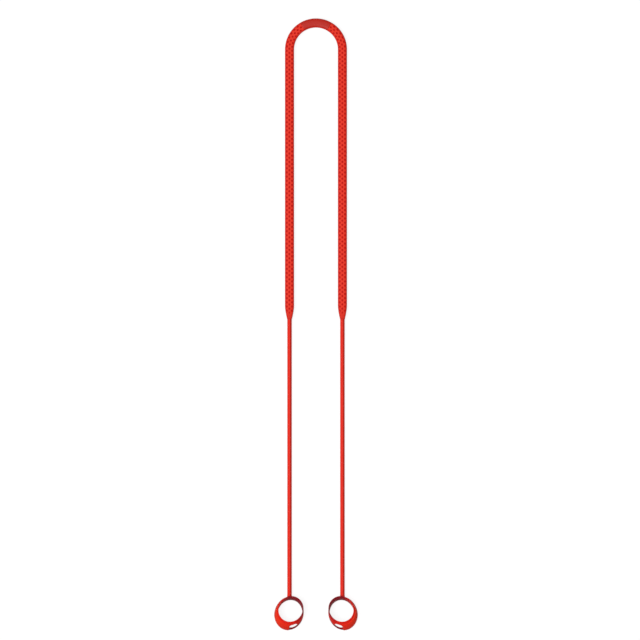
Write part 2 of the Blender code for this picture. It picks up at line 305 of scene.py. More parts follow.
def eased(points, per_span):
    """A finer row of points on a smooth curve through these, this many to a span."""
    padded = [points[0] * 2 - points[1], *points, points[-1] * 2 - points[-2]]
    fine = []
    for a, b, c, d in zip(padded, padded[1:], padded[2:], padded[3:]):
        for i in range(per_span):
            t = i / per_span
            bend = a - 2.5 * b + 2 * c - d / 2
            turn = (3 * b - a - 3 * c + d) / 2
            fine.append(b + (c - a) / 2 * t + bend * t**2 + turn * t**3)
    return [*fine, points[-1]]


# %% [markdown]
# The cord is nearly round, but one side of it is flat along its whole length: it catches less light
# than the rest, and the edge between them draws one crisp line down each cord. So the profile is a
# circle whose vertices beyond that side are squashed onto it, and then turned to where it faces.
# A profile is seen against the direction in which its curve runs, so left and right change places.

# %% Draw the cord's profile
CORD_SIDES = 32
FLAT_SIDE_LIFT = math.radians(35)  # how far the flat side looks up from level
FLAT_SIDE_DEPTH = 0.72  # how far it is from the cord's middle, as a share of the radius


def flattened_circle(name, radius, facing):
    """A circle in the plane z = 0 with a flat side that faces this way, left open in edit mode."""
    alone()
    bpy.ops.mesh.primitive_circle_add(vertices=CORD_SIDES, radius=radius)
    loop = named(name)
    edit(loop)
    flat = FLAT_SIDE_DEPTH * radius
    choose("VERT", lambda v: v.co.x > flat)
    scale_about((flat, 0, 0), x=0)
    choose("VERT", every)
    turn_about((0, 0, 0), -facing)
    return loop


profile = flattened_circle("cord_profile", cord_radius, math.pi - FLAT_SIDE_LIFT)
pick(profile)
bpy.ops.object.convert(target="CURVE")
profile = bpy.context.active_object
print("profile, mm across:", round(profile.dimensions.x / MM, 2))

# %% [markdown]
# The curve is turned into a mesh, because a piece that bends at a joint has to be one. A cord
# follows its arm inside the sleeve and its own lead beyond the fold, and turns smoothly between.
# Its very end narrows by a hair, which draws the fine seam where the ring's neck begins.

# %% Make the cords
SPAN_POINTS = 8  # points of the finer route to a span of the given one
CORD_BEND_REACH = 12.0 * MM  # how far past the tip a folded cord keeps bending
CORD_SEAM = 0.05 * MM
CORD_CREASE = 25  # degrees, between the round and the flat side


def swept_cord(name, route):
    """A closed mesh of the profile along this route, with the seam at its end."""
    curve = bpy.data.curves.new(name, "CURVE")
    curve.dimensions = "3D"
    curve.twist_mode = "Z_UP"
    curve.bevel_mode = "OBJECT"
    curve.bevel_object = profile
    curve.use_fill_caps = True
    line = curve.splines.new("POLY")
    shoulder = route[-1] + Vector((0, CORD_SEAM, 0))
    places = [place for place in route if place.y > shoulder.y + CORD_SEAM] + [shoulder, route[-1]]
    line.points.add(len(places) - 1)
    for point, place in zip(line.points, places):
        point.co = (*place, 1)
        point.radius = 1.0
    line.points[-1].radius = 1 - CORD_SEAM / cord_radius
    pick(placed(name, curve))
    bpy.ops.object.convert(target="MESH")
    cord = bpy.context.active_object
    edit(cord)
    choose("VERT", every)
    bpy.ops.mesh.remove_doubles(threshold=TINY)
    face_outwards()
    alone()
    smooth(cord, CORD_CREASE)
    return cord


for name, side in SIDES:
    route = eased(cord_route(side), SPAN_POINTS)
    cord = swept_cord(f"lead_{name}", route)
    mouth = Vector((side * half_spacing, tip_y, band_z))
    fold_end = mouth - Vector((0, CORD_BEND_REACH, 0))
    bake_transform(cord, f"{name}_arm", f"{name}_lead", start=mouth, end=fold_end)
    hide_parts(f"cord_{name}")
    print(faces_of(cord))
bpy.data.objects.remove(profile)

# %% [markdown]
# ## The sleeve's section
#
# Cut across, the sleeve is a flattish oval: nearly level on top, and rounding off towards its
# sides. It is drawn as one loop of vertices, on which the dimples later sit.
#
# A circle gives the sides. Its left half is deleted, the right half is moved out, its two ends are
# extruded to the middle, and a mirrored copy closes the loop. Two half circles would make the top
# fall away too early, so each vertex between top and side is then slid out to a squarer curve.

# %% Draw the section as a loop
ROUND_STEPS = 24  # vertices in a full round
SQUARENESS = 3.4  # 2 would be an ellipse
flat_half = band_half_width - band_half_height


def half_height(y):
    """The section's half height at this distance from its middle."""
    return band_half_height * (1 - (abs(y) / band_half_width) ** SQUARENESS) ** (1 / SQUARENESS)


def round_place(angle):
    """Where the loop's round has a vertex, at this angle from its top, before it is slid out."""
    return flat_half + band_half_height * math.sin(angle), band_half_height * math.cos(angle)


def section_loop(name, steps):
    """The sleeve's section in the plane x = 0, round the origin, left open in edit mode."""
    alone()
    bpy.ops.mesh.primitive_circle_add(
        vertices=steps, radius=band_half_height, rotation=(0, math.radians(90), 0)
    )
    loop = named(name)
    edit(loop)
    choose("VERT", lambda v: v.co.y < -TINY)
    bpy.ops.mesh.delete(type="VERT")
    choose("VERT", every)
    slide(y=flat_half)
    choose("VERT", lambda v: abs(v.co.y - flat_half) < TINY)
    bpy.ops.mesh.extrude_vertices_move(TRANSFORM_OT_translate={"value": (0, -flat_half, 0)})
    choose("VERT", every)
    bpy.ops.mesh.duplicate()
    scale_about((0, 0, 0), y=-1)
    choose("VERT", every)
    bpy.ops.mesh.remove_doubles(threshold=TINY)
    for step in range(1, steps // 4):
        y, z = round_place(2 * math.pi * step / steps)
        for up in (-1, 1):
            choose("VERT", lambda v: abs(abs(v.co.y) - y) < TINY and abs(v.co.z - up * z) < TINY)
            slide(z=up * (half_height(y) - z))
    return loop


unit = section_loop("sleeve_unit", ROUND_STEPS)
print("section vertices:", choose("VERT", every))

# %% [markdown]
# ## One pitch of the dimpled sleeve
#
# The texture repeats about seventy times along each half of the sleeve: a dimple on the middle,
# then, half a pitch on, a wider one on each shoulder. So only one pitch is modelled, four rows
# long, and an Array modifier repeats it. The flanks between top and underside stay plain.
#
# A material can read an attribute of the vertices. So the places that get painted shade are marked
# as they are made: `flank` on the plain sides, then `pit` in the
# dimples, where shade falls in the hollows, and `tip` where the sleeve's tip curves down to the cord.

# %% Mark places for the materials
def mark(thing, attribute, test, value=1.0):
    """Sets an attribute on the vertices that pass a test. It fades to 0 at their neighbours."""
    alone()
    if attribute not in thing.data.attributes:
        thing.data.attributes.new(attribute, "FLOAT", "POINT")
    thing.data.attributes.active = thing.data.attributes[attribute]
    edit(thing)
    found = choose("VERT", test)
    bpy.ops.mesh.attribute_set(value_float=value)
    alone()
    return found


# %% Extrude one pitch
PITCH = 2.486 * MM
ROWS = 4
SHADED_FLANK_ANGLE = math.radians(44)

for row in range(ROWS):
    extrude_loop(x=PITCH / ROWS)
face_outwards()
# Past this angle the flanks get painted shade, a darker red for the shade on the sleeve's sides.
shaded_flank_start = round_place(SHADED_FLANK_ANGLE)[0]
print("flank vertices:", mark(unit, "flank", lambda v: abs(v.co.y) > shaded_flank_start))

# %% [markdown]
# A dimple starts as the four faces round one vertex. An inset gives them a rim, the inside is made
# round and pushed down, and its middle a little further. Cutting each with a small ball would give
# a rounder bowl and far more faces.

# %% Press the dimples
SHOULDER_ANGLE = math.radians(30)
MIDDLE_DIMPLE, SHOULDER_DIMPLE = 0.49 * MM, 0.55 * MM  # radii
RIM = 0.06 * MM
ROUNDING = 0.9
DIMPLE_DEPTH = 0.2 * MM
DIMPLE_CENTRE_DEPTH = 0.07 * MM
PIT_SHADE_STRENGTH = 1.8  # past 1, so that the painted shade in a dimple reaches almost to its rim
NEARBY = 10 * TINY


def close_to(place):
    return lambda vertex: (vertex.co - place).length < NEARBY


def press_dimple(place, radius):
    """Makes the four faces round the vertex at this place into a round dimple."""
    near = close_to(place)
    choose("FACE", lambda f: any(near(v) for v in f.verts))
    shape = bmesh.from_edit_mesh(unit.data)
    inwards = -next(v for v in shape.verts if near(v)).normal.copy()
    bpy.ops.mesh.inset(thickness=RIM, depth=0)
    bpy.ops.transform.tosphere(value=ROUNDING, center_override=tuple(place))
    shape = bmesh.from_edit_mesh(unit.data)
    edge = [(v.co - place).length for v in shape.verts if v.select and not near(v)]
    fit = radius * len(edge) / sum(edge)
    scale_about(place, fit, fit, fit)
    slide(*(inwards * DIMPLE_DEPTH))
    # The inside of the dimple gets painted shade, for the shade that falls in the hollow.
    bpy.ops.mesh.attribute_set(value_float=PIT_SHADE_STRENGTH)
    choose("VERT", close_to(place + inwards * DIMPLE_DEPTH))
    slide(*(inwards * DIMPLE_CENTRE_DEPTH))


mark(unit, "pit", lambda v: False)  # now it is the attribute that attribute_set sets
edit(unit)
shoulder_y = round_place(SHOULDER_ANGLE)[0]
for up in (-1, 1):
    press_dimple(Vector((PITCH / 4, 0, up * band_half_height)), MIDDLE_DIMPLE)
    for across in (-1, 1):
        place = Vector((PITCH * 3 / 4, across * shoulder_y, up * half_height(shoulder_y)))
        press_dimple(place, SHOULDER_DIMPLE)
alone()
print(faces_of(unit))

# %% [markdown]
# ## Half of the sleeve, still straight
#
# The sleeve is made as two halves that meet at the middle of the crown, because each half bends at
# one joint only. One half is built straight, with its tip at x = 0, and used twice.
#
# From the tip it has a short plain lip, the repeated pitches, one last middle dimple, and then a
# plain stretch under the crown's panel. The last dimple is half of one more pitch.

# %% Repeat the pitch
PLAIN_TIP = 3.28 * MM
PITCHES = 69
MERGE = 0.01 * MM


def shift_mesh(thing, x=0.0, z=0.0):
    pick(thing)
    thing.location = (x, 0, z)
    bpy.ops.object.transform_apply(location=True, rotation=False, scale=False)


def repeat_along(thing, count, step):
    """Repeats a piece along x, each copy merged with the one before."""
    modify(
        thing, "ARRAY", count=count, use_relative_offset=False, use_constant_offset=True,
        constant_offset_displace=(step, 0, 0), use_merge_vertices=True, merge_threshold=MERGE,
    )


last_half = own_copy(unit, "last_half_pitch")
edit(last_half)
choose("VERT", lambda v: v.co.x > PITCH / 2 + TINY)
bpy.ops.mesh.delete(type="VERT")
shift_mesh(last_half, PLAIN_TIP + PITCHES * PITCH)

sleeve = own_copy(unit, "sleeve_half")
shift_mesh(sleeve, PLAIN_TIP)
repeat_along(sleeve, PITCHES, PITCH)
pick(sleeve, last_half)
bpy.ops.object.join()
edit(sleeve)
choose("VERT", every)
bpy.ops.mesh.remove_doubles(threshold=MERGE)
texture_end = PLAIN_TIP + (PITCHES + 0.5) * PITCH
print("dimpled to, mm:", round(texture_end / MM, 1))

# %% [markdown]
# The plain stretches are rows extruded out of the two ends. The attribute `tip` grows towards the
# tip in four steps. It is painted shade where the end curves down to the cord, and it fades the
# dimples there too.

# %% Add the plain ends
TIP_ROWS, CROWN_ROWS = 5, 12
PAINTED_TIP_SHADE = ((6.6 * MM, 0.2), (4.6 * MM, 0.35), (2.7 * MM, 0.6), (1.0 * MM, 1.0))  # reach, share

choose("VERT", lambda v: v.co.x > texture_end - TINY)
for row in range(CROWN_ROWS):
    extrude_loop(x=(half_length - texture_end) / CROWN_ROWS)
choose("VERT", lambda v: v.co.x < PLAIN_TIP + TINY)
for row in range(TIP_ROWS):
    extrude_loop(x=-PLAIN_TIP / TIP_ROWS)
# The tip's painted shade, in four steps.
for reach, share in PAINTED_TIP_SHADE:
    mark(sleeve, "tip", lambda v: v.co.x < reach, share)
panel_reach = half_length - texture_end
plain_angle = math.degrees(panel_reach / half_spacing)
print(faces_of(sleeve), " plain crown, degrees:", round(plain_angle, 1))

# %% [markdown]
# ## The taper
#
# The last eight millimetres narrow to the cord in a full, bullet-like curve. Scaling the rows one
# by one would do it, but a lattice is easier to think about: a soft cage round the end, whose
# cross-sections are scaled, and the dimples inside shrink with it.

# %% Narrow the tip with a lattice cage
TAPER_LENGTH = 7.9 * MM
TAPER_POWER = 1.5
TIP_RADIUS = cord_radius + 0.05 * MM
CAGE_SECTIONS = 17
CAGE_MARGIN = 3  # how much wider than the sleeve's half sizes the cage is

alone()
bpy.ops.object.add(type="LATTICE", location=(TAPER_LENGTH / 2, 0, 0))
cage = bpy.context.active_object
cage.scale = (TAPER_LENGTH, CAGE_MARGIN * band_half_width, CAGE_MARGIN * band_half_height)
cage.data.points_u, cage.data.points_v, cage.data.points_w = CAGE_SECTIONS, 2, 2
for direction in "uvw":
    setattr(cage.data, f"interpolation_type_{direction}", "KEY_LINEAR")
for point in cage.data.points:
    grown = 1 - (0.5 - point.co.x) ** TAPER_POWER
    for axis, half in ((1, band_half_width), (2, band_half_height)):
        narrowed = TIP_RADIUS + (half - TIP_RADIUS) * grown
        point.co_deform[axis] = point.co[axis] * narrowed / half
bpy.context.view_layer.update()
modify(sleeve, "LATTICE", object=cage)
bpy.data.objects.remove(cage)
modify(sleeve, "SUBSURF", levels=1, render_levels=1)
print(faces_of(sleeve))

# %% [markdown]
# ## The mouth, the crown's pocket and the closed end
#
# At the tip the sleeve has a mouth that fits the cord: its edge is extruded, made round, and pushed
# inside as a short bore, which one face closes.

# %% Shape the mouth
MOUTH_CLEARANCE = 0.01 * MM
BORE_DEPTH = CORD_INSIDE + 0.2 * MM

edit(sleeve)
choose("VERT", lambda v: v.co.x < TINY)
extrude_loop()
bpy.ops.transform.tosphere(value=1.0, center_override=(0, 0, 0))
shape = bmesh.from_edit_mesh(sleeve.data)
mouth_now = max(v.co.length for v in shape.verts if v.select)
fit = (cord_radius + MOUTH_CLEARANCE) / mouth_now
scale_about((0, 0, 0), 1, fit, fit)
extrude_loop(x=BORE_DEPTH)
bpy.ops.mesh.edge_face_add()
print("mouth radius, mm:", round(mouth_now * fit / MM, 3))

# %% [markdown]
# At the crown a shallow pocket takes the smooth panel: an inset that keeps off the open end, pushed
# down along the normals. The end, where the other half meets it, is then closed with one face.

# %% Sink the pocket
POCKET_SIDE = math.radians(52.5)
POCKET_MARGIN = 0.02 * MM
POCKET_DEPTH = 0.32 * MM
pocket_start = texture_end + panel_reach / CROWN_ROWS / 2
pocket_half_width = round_place(POCKET_SIDE)[0]


def in_pocket(face):
    middle = face.calc_center_median()
    return middle.x > pocket_start and middle.z > 0 and abs(middle.y) < pocket_half_width


pocket_faces = choose("FACE", in_pocket)
bpy.ops.mesh.inset(thickness=POCKET_MARGIN, depth=0, use_boundary=False)
bpy.ops.transform.shrink_fatten(value=-POCKET_DEPTH)
choose("EDGE", lambda e: e.is_boundary)
bpy.ops.mesh.edge_face_add()
alone()
print("pocket faces:", pocket_faces)

# %% [markdown]
# ## Bending the halves round the neck
#
# A Curve modifier lays a straight piece along a curve: x becomes the distance walked, y stays
# across it and z stays up. The curve runs from a tip up the arm and round a quarter of the crown.
# The left and right halves are copies of one mesh on mirrored curves, so no mesh has to be mirrored
# and turned outside again.

# %% Lay pieces along the strap's own line
ARC_STEP = math.radians(1)


def arc_places(first, last, side):
    """Places on the crown's arc between two angles from its top, 0 at the top."""
    steps = round(abs(last - first) / ARC_STEP)
    angles = [first + (last - first) * i / steps for i in range(steps + 1)]
    return [
        (side * half_spacing * math.sin(a), crown_y + half_spacing * math.cos(a)) for a in angles
    ]


def lay_along(thing, places):
    """Bends a straight piece along a flat line of places, and lifts it to the sleeve's height."""
    curve = bpy.data.curves.new("line", "CURVE")
    curve.dimensions = "2D"
    spline = curve.splines.new("POLY")
    spline.points.add(len(places) - 1)
    for point, (x, y) in zip(spline.points, places):
        point.co = (x, y, 0, 1)
    line = placed("line", curve)
    modify(thing, "CURVE", object=line, deform_axis="POS_X")
    bpy.data.objects.remove(line)
    shift_mesh(thing, z=band_z)


# %% [markdown]
# Each half follows the crown above the arm's hinge and the arm below it, and turns smoothly over
# the few millimetres between. The hinge stands for the bending of the silicone there. The left
# half also stands for the model's crown.

# %% Make the two halves
BEND_ABOVE, BEND_BELOW = 7.0 * MM, 10.0 * MM
SLEEVE_CREASE = 50  # degrees; the rims of the dimples are softer than this


def make_halves(straight, part, ending, crease):
    """Copies a straight half to both sides, laid along the strap and bent at the arm's hinge."""
    for name, side in SIDES:
        half = own_copy(straight, f"{part}_{name}_{ending}")
        lay_along(half, [(side * half_spacing, tip_y), *arc_places(math.pi / 2, 0, side)])
        smooth(half, crease)
        hinge = Vector((side * half_spacing, crown_y, band_z))
        above, below = Vector((0, BEND_ABOVE, 0)), Vector((0, BEND_BELOW, 0))
        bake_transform(half, "neck_band", f"{name}_arm", start=hinge + above, end=hinge - below)
        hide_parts(f"{part}_{name}", *([f"{part}_crown"] if side < 0 else []))
        print(faces_of(half))
    bpy.data.objects.remove(straight)


make_halves(sleeve, "sleeve", "skin", SLEEVE_CREASE)
bpy.data.objects.remove(unit)

# %% [markdown]
# ## The core inside
#
# A thin plain strand runs inside the sleeve from cord to cord, and keeps the soft sleeve from
# stretching. It never shows, but it is a part of the strap, so it gets its own two pieces: a circle
# extruded once, repeated along the length, and bent exactly as the sleeve's halves are.

# %% Make the two halves of the core
CORE_SIDES = 12
CORE_ROW = 2.0 * MM  # about
CORE_GAP = 0.3 * MM
CORE_ROUNDING = 0.12 * MM
CORE_CREASE = 40  # degrees
core_start = BORE_DEPTH + CORE_GAP
core_rows = round((half_length - core_start) / CORE_ROW)
core_row = (half_length - core_start) / core_rows

alone()
bpy.ops.mesh.primitive_circle_add(
    vertices=CORE_SIDES, radius=core_radius, rotation=(0, math.radians(90), 0)
)
strand = named("core_strand")
edit(strand)
choose("VERT", every)
extrude_loop(x=core_row)
face_outwards()
shift_mesh(strand, core_start)
repeat_along(strand, core_rows, core_row)
for x in (core_start, half_length):
    edit(strand)
    choose("EDGE", lambda e: e.is_boundary and all(abs(v.co.x - x) < core_row / 2 for v in e.verts))
    bpy.ops.mesh.edge_face_add()
    bpy.ops.mesh.bevel(offset=CORE_ROUNDING, segments=2, affect="EDGES")
alone()
make_halves(strand, "core", "strand", CORE_CREASE)

# %% [markdown]
# ## The panel on the crown
#
# On the middle of the crown the dimples stop, and a smooth panel fills the pocket from side to
# side. Its darker red is a painted reflection in its smooth face. It is bare. It starts as the same
# section as the sleeve, with finer steps, of which only the top is kept. Rows are extruded to its
# length, and Solidify gives it thickness.

# %% Make the panel
PANEL_GAP = 0.09 * MM
PANEL_THICKNESS = 0.34 * MM
PANEL_PROUD = 0.03 * MM
PANEL_ROWS = 40
PANEL_KEPT = math.radians(45)  # of the section, to each side of its top

panel = section_loop("crown_panel_inlay", 2 * ROUND_STEPS)
kept_half_width = round_place(PANEL_KEPT)[0]
choose("VERT", lambda v: v.co.z < 0 or abs(v.co.y) > kept_half_width + TINY)
bpy.ops.mesh.delete(type="VERT")
panel_half_length = half_length - pocket_start - PANEL_GAP
choose("VERT", every)
scale_about((0, 0, 0), y=(pocket_half_width - PANEL_GAP) / kept_half_width)
slide(x=-panel_half_length)
for row in range(PANEL_ROWS):
    extrude_loop(x=2 * panel_half_length / PANEL_ROWS)
face_outwards()
shape = bmesh.from_edit_mesh(panel.data)
if sum(f.normal.z for f in shape.faces) < 0:
    bpy.ops.mesh.flip_normals()
bpy.ops.transform.shrink_fatten(value=PANEL_PROUD)
alone()
modify(panel, "SOLIDIFY", thickness=PANEL_THICKNESS, offset=-1)
print(faces_of(panel))

# %% [markdown]
# A bevel takes off the panel's four corners, a finer one all its sharp edges, and the crown's arc
# bends it. The panel is moved along the arc's line first, so that its middle is at the top.

# %% Soften the panel and bend it
PANEL_CORNER = 0.2 * MM
EDGE_ROUNDING = 0.07 * MM
PANEL_SHARP, PANEL_CREASE = math.radians(50), 30
PANEL_LINE_REACH = math.radians(60)  # to each side of the crown's top


def soften_edges(thing, angle):
    """Rounds the edges that turn by more than this angle."""
    modify(
        thing, "BEVEL", width=EDGE_ROUNDING, segments=2, limit_method="ANGLE", angle_limit=angle
    )


def upright_corner(edge):
    """True for the four upright edges between an end of the panel and a long side."""
    outward = math.copysign(1, edge.verts[0].co.y)
    at_end = any(abs(f.normal.x) > 0.9 for f in edge.link_faces)
    at_side = any(f.normal.y * outward > 0.3 and f.normal.z < -0.3 for f in edge.link_faces)
    return at_end and at_side


edit(panel)
print("corner edges:", choose("EDGE", upright_corner))
bpy.ops.mesh.bevel(offset=PANEL_CORNER, segments=3, affect="EDGES")
alone()
soften_edges(panel, PANEL_SHARP)
shift_mesh(panel, PANEL_LINE_REACH * half_spacing)
lay_along(panel, arc_places(-PANEL_LINE_REACH, PANEL_LINE_REACH, 1))
smooth(panel, PANEL_CREASE)
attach(panel, "neck_band")
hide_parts("crown_panel")
print(faces_of(panel))

# %% [markdown]
# ## The rings that hold the earbuds
#
# A ring stands on its wide rim. Its narrow rim, on top, is shifted towards the other ring and
# towards the crown, so the wall leans over the cord on one side and spreads out like a skirt on
# the other. The wall is upright at the wide rim, flares fastest at the narrow one, and gets thinner
# towards the top.
#
# A loft of two circles would be a straight cone. Instead one circle is the wide rim's outside, and
# the loop is extruded level by level to the narrow rim, over it, and back down the inside. The two
# loops at the bottom are then bridged.

# %% The ring's sections
HOLDER_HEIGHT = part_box("holder_left")[1].z
RING_DROP = 12.03 * MM  # from the tilt joint to the ring's own middle
GRIP_RISE = 0.25 * MM
RING_SIDES = 96
# In mm: a rim's middle, from the cord's line towards the other ring and from the ring's middle
# towards the crown, and its half-sizes across and along the strap.
NARROW_BORE, NARROW_OUTSIDE = (0.63, 3.21, 7.15, 7.32), (0.63, 3.21, 7.62, 7.79)
WIDE_BORE, WIDE_OUTSIDE = (0.26, -0.17, 7.37, 8.31), (-0.2, 0.29, 8.65, 9.88)
ring_middle_y = tilt_y - RING_DROP


def ring_section(side, depth, wall_share):
    """Centre and half-sizes of a loop on the ring, 0 at the narrow rim to 1 at the wide one, and
    from its bore, 0, to its outside, 1."""
    depth = min(1.0, max(0.0, depth))
    done = 1 - (1 - depth) ** 2
    inward, upward, across, along = (
        MM * ((1 - done) * (n0 + (n1 - n0) * wall_share) + done * (w0 + (w1 - w0) * wall_share))
        for n0, n1, w0, w1 in zip(NARROW_BORE, NARROW_OUTSIDE, WIDE_BORE, WIDE_OUTSIDE)
    )
    centre = (side * (half_spacing - inward), ring_middle_y + upward, HOLDER_HEIGHT * (1 - depth))
    return Vector(centre), across, along


print("narrow rim's middle, right ring, m:", ring_section(1, 0, 0)[0])

# %% [markdown]
# With the sections known, a loop is moved and scaled from each to the next after it is extruded.

# %% Extrude a ring level by level
LEVELS = (1.0, 0.9, 0.8, 0.7, 0.6, 0.5, 0.4, 0.31, 0.23, 0.14, 0.07, 0.0)


def extruded_ring(name, side):
    alone()
    base = ring_section(side, 1.0, 1)
    bpy.ops.mesh.primitive_circle_add(vertices=RING_SIDES, radius=base[1], location=base[0])
    ring = named(name)
    edit(ring)
    choose("VERT", every)
    scale_about(base[0], 1, base[2] / base[1])
    walk = [ring_section(side, depth, 1) for depth in LEVELS[1:]]
    walk += [ring_section(side, depth, 0) for depth in reversed(LEVELS)]
    before = base
    for after in walk:
        extrude_loop()
        slide(*(after[0] - before[0]))
        scale_about(after[0], after[1] / before[1], after[2] / before[2])
        before = after
    choose("EDGE", lambda e: e.is_boundary)
    bpy.ops.mesh.bridge_edge_loops()
    face_outwards()
    return ring


# %% [markdown]
# The ring's outer lower side carries a raised grip pad: a thicker skin that starts with a step
# beside the slot, follows the opening at a small distance, and runs out on the outer side. It is
# bare. The pad is a patch of the outer wall's own faces, extruded along their normals, and its
# last columns are drawn back towards the wall so that it fades.

# %% Tell places on the ring apart
GRIP_FROM, GRIP_TO = math.radians(-90), math.radians(-212)


def angle_on_ring(side, place):
    """Angle round the ring, 0 towards the other ring and a quarter turn towards the crown."""
    depth = 1 - place.z / HOLDER_HEIGHT
    centre, across, along = ring_section(side, depth, 1)
    return math.atan2((place.y - centre.y) / along, -side * (place.x - centre.x) / across), depth


def outside_of(side, place, wall_share):
    """True for a place further out than this share of the wall."""
    centre, across, along = ring_section(side, 1 - place.z / HOLDER_HEIGHT, wall_share)
    return ((place.x - centre.x) / across) ** 2 + ((place.y - centre.y) / along) ** 2 > 1


def left_of_pad(side, place):
    """The angle from this place on to the pad's end, below 0 beyond the end."""
    return (angle_on_ring(side, place)[0] - GRIP_FROM) % (-2 * math.pi) - (GRIP_TO - GRIP_FROM)


# %% Raise the grip pad
GRIP_TOP_DEPTH = 0.14
COLUMN = 2 * math.pi / RING_SIDES
FADE_COLUMNS = 9
FADED_SHARE = 0.97  # how much of the pad's rise is gone at its end
WIDE_ROUNDING, NARROW_ROUNDING = 0.25 * MM, 0.17 * MM
OUTER_HALF, RAISED = 0.6, 1.01  # shares of the wall that only its outer faces, or the pad, pass


def raise_grip(side):
    def on_pad(face):
        middle = face.calc_center_median()
        below_rim = angle_on_ring(side, middle)[1] > GRIP_TOP_DEPTH
        on_wall = below_rim and middle.z > WIDE_ROUNDING and outside_of(side, middle, OUTER_HALF)
        return on_wall and left_of_pad(side, middle) > 0

    def at_end(vertex):
        return abs(left_of_pad(side, vertex.co)) < reach and outside_of(side, vertex.co, RAISED)

    found = choose("FACE", on_pad)
    bpy.ops.mesh.extrude_region_shrink_fatten(TRANSFORM_OT_shrink_fatten={"value": GRIP_RISE})
    for columns in range(FADE_COLUMNS):
        reach = COLUMN * (columns + 0.7)  # past this many columns, and short of the next
        choose("VERT", at_end)
        bpy.ops.transform.shrink_fatten(value=-GRIP_RISE * FADED_SHARE / FADE_COLUMNS)
    return found


# %% [markdown]
# Both rims are rounded with a bevel. The slot, a window through the wall, is cut with a Boolean by
# a rod with a long, round-ended section, square to the wall.

# %% Round the rims
def round_rims():
    def crosses(edge):
        """True for an edge between a rim's flat and a wall."""
        flat = [abs(f.normal.z) > 0.99 for f in edge.link_faces]
        return any(flat) and not all(flat)

    def at_height(z):
        return lambda edge: crosses(edge) and all(abs(v.co.z - z) < TINY for v in edge.verts)

    found = []
    for height, rounding in ((HOLDER_HEIGHT, NARROW_ROUNDING), (0, WIDE_ROUNDING)):
        found.append(choose("EDGE", at_height(height)))
        bpy.ops.mesh.bevel(offset=rounding, segments=3, affect="EDGES")
    return found


# %% The slot's cutter
SLOT_LENGTH, SLOT_WIDTH, SLOT_REACH = 5.1 * MM, 3.6 * MM, 8.0 * MM
SLOT_ANGLE = math.radians(-72)
SLOT_DEPTH_SHARE = 0.445
SLOT_SIDES = 32
STEP = 0.01  # how far off the neighbours are that show which way the wall runs


def wall_place(side, angle, depth):
    """A place in the middle of the ring's wall."""
    centre, across, along = ring_section(side, depth, 0.5)
    return centre + Vector((-side * across * math.cos(angle), along * math.sin(angle), 0))


def slot_cutter(side):
    alone()
    bpy.ops.mesh.primitive_cylinder_add(
        vertices=SLOT_SIDES, radius=SLOT_WIDTH / 2, depth=SLOT_REACH
    )
    cutter = bpy.context.active_object
    edit(cutter)
    choose("VERT", every)
    turn_about((0, 0, 0), math.pi / SLOT_SIDES)
    for half in (-1, 1):
        choose("VERT", lambda v: v.co.x * half > 0)
        slide(x=half * (SLOT_LENGTH - SLOT_WIDTH) / 2)
    alone()
    place = wall_place(side, SLOT_ANGLE, SLOT_DEPTH_SHARE)
    along = (wall_place(side, SLOT_ANGLE + STEP, SLOT_DEPTH_SHARE) - place).normalized()
    down = (wall_place(side, SLOT_ANGLE, SLOT_DEPTH_SHARE + STEP) - place).normalized()
    outward = along.cross(down).normalized()
    turn = Matrix((along, outward.cross(along), outward)).transposed().to_4x4()
    cutter.matrix_world = Matrix.Translation(place) @ turn
    bpy.context.view_layer.update()
    return cutter


# %% [markdown]
# Painted shade makes the ring a much deeper red in its bore, on the rim where the bore opens
# towards the cord, and on the low strip beyond the slot. Towards the ring's outer side it fades into
# the wall's own red. Painted light makes the grip pad the brightest, most of all on its outer side.
# Two more attributes, `lining` and `pad`, carry them. Both change slowly along the ring,
# so each is set in a few steps, and every step takes a smaller group of vertices than the one before.

# %% Say where the painted shade and light go
# Each is a line through pairs of degrees round the ring and a share.
BORE_PAINTED_SHADE = ((-180, 0.15), (-165, 0.15), (-110, 1.0), (97, 1.0), (120, 0.55), (150, 0.15))
RIM_PAINTED_SHADE = ((-72, 0.0), (-58, 0.5), (-40, 0.6), (-28, 1.0), (97, 1.0), (120, 0.5), (150, 0.0))
STRIP_PAINTED_SHADE = ((-91, 0.0), (-90, 1.0), (-40, 1.0), (0, 0.0))
PAD_PAINTED_LIGHT = ((-212, 0.0), (-185, 1.0), (-145, 1.0), (-118, 0.45), (-90, 0.4))
RIM_SHADE_DEPTHS = (0.1, 0.2)  # the rim's painted shade holds to the first depth and is gone at the second
STRIP_SHADE_DEPTHS = (0.5, 0.58)  # the strip's begins at the first and is full at the second
IN_BORE, ON_PAD, PAD_FOOT = 0.3, 1.03, 1.005  # shares of the wall; the pad is beyond its 1


def ramp(points, x):
    """The height at x of a line through these points, level beyond its ends."""
    for (x0, y0), (x1, y1) in zip(points, points[1:]):
        if x < x1:
            return y0 + (y1 - y0) * max(0.0, (x - x0) / (x1 - x0))
    return points[-1][1]


# A deeper red that paints the shade in the bore, on its rim and on the strip beyond the slot.
def painted_shade_share(side, place):
    angle, depth = angle_on_ring(side, place)
    degrees = math.degrees(angle)
    if not outside_of(side, place, IN_BORE):
        return ramp(BORE_PAINTED_SHADE, degrees)
    rim = ramp(RIM_PAINTED_SHADE, degrees) * (1 - ramp(((RIM_SHADE_DEPTHS[0], 0), (RIM_SHADE_DEPTHS[1], 1)), depth))
    strip = ramp(STRIP_PAINTED_SHADE, degrees) * ramp(((STRIP_SHADE_DEPTHS[0], 0), (STRIP_SHADE_DEPTHS[1], 1)), depth)
    return rim if outside_of(side, place, ON_PAD) else max(rim, strip)


# A brighter red that paints the light on the grip pad, most of all on its outer side.
def painted_light_share(side, place):
    if left_of_pad(side, place) < 0 or not outside_of(side, place, PAD_FOOT):
        return 0
    return ramp(PAD_PAINTED_LIGHT, math.degrees(GRIP_TO + left_of_pad(side, place)))


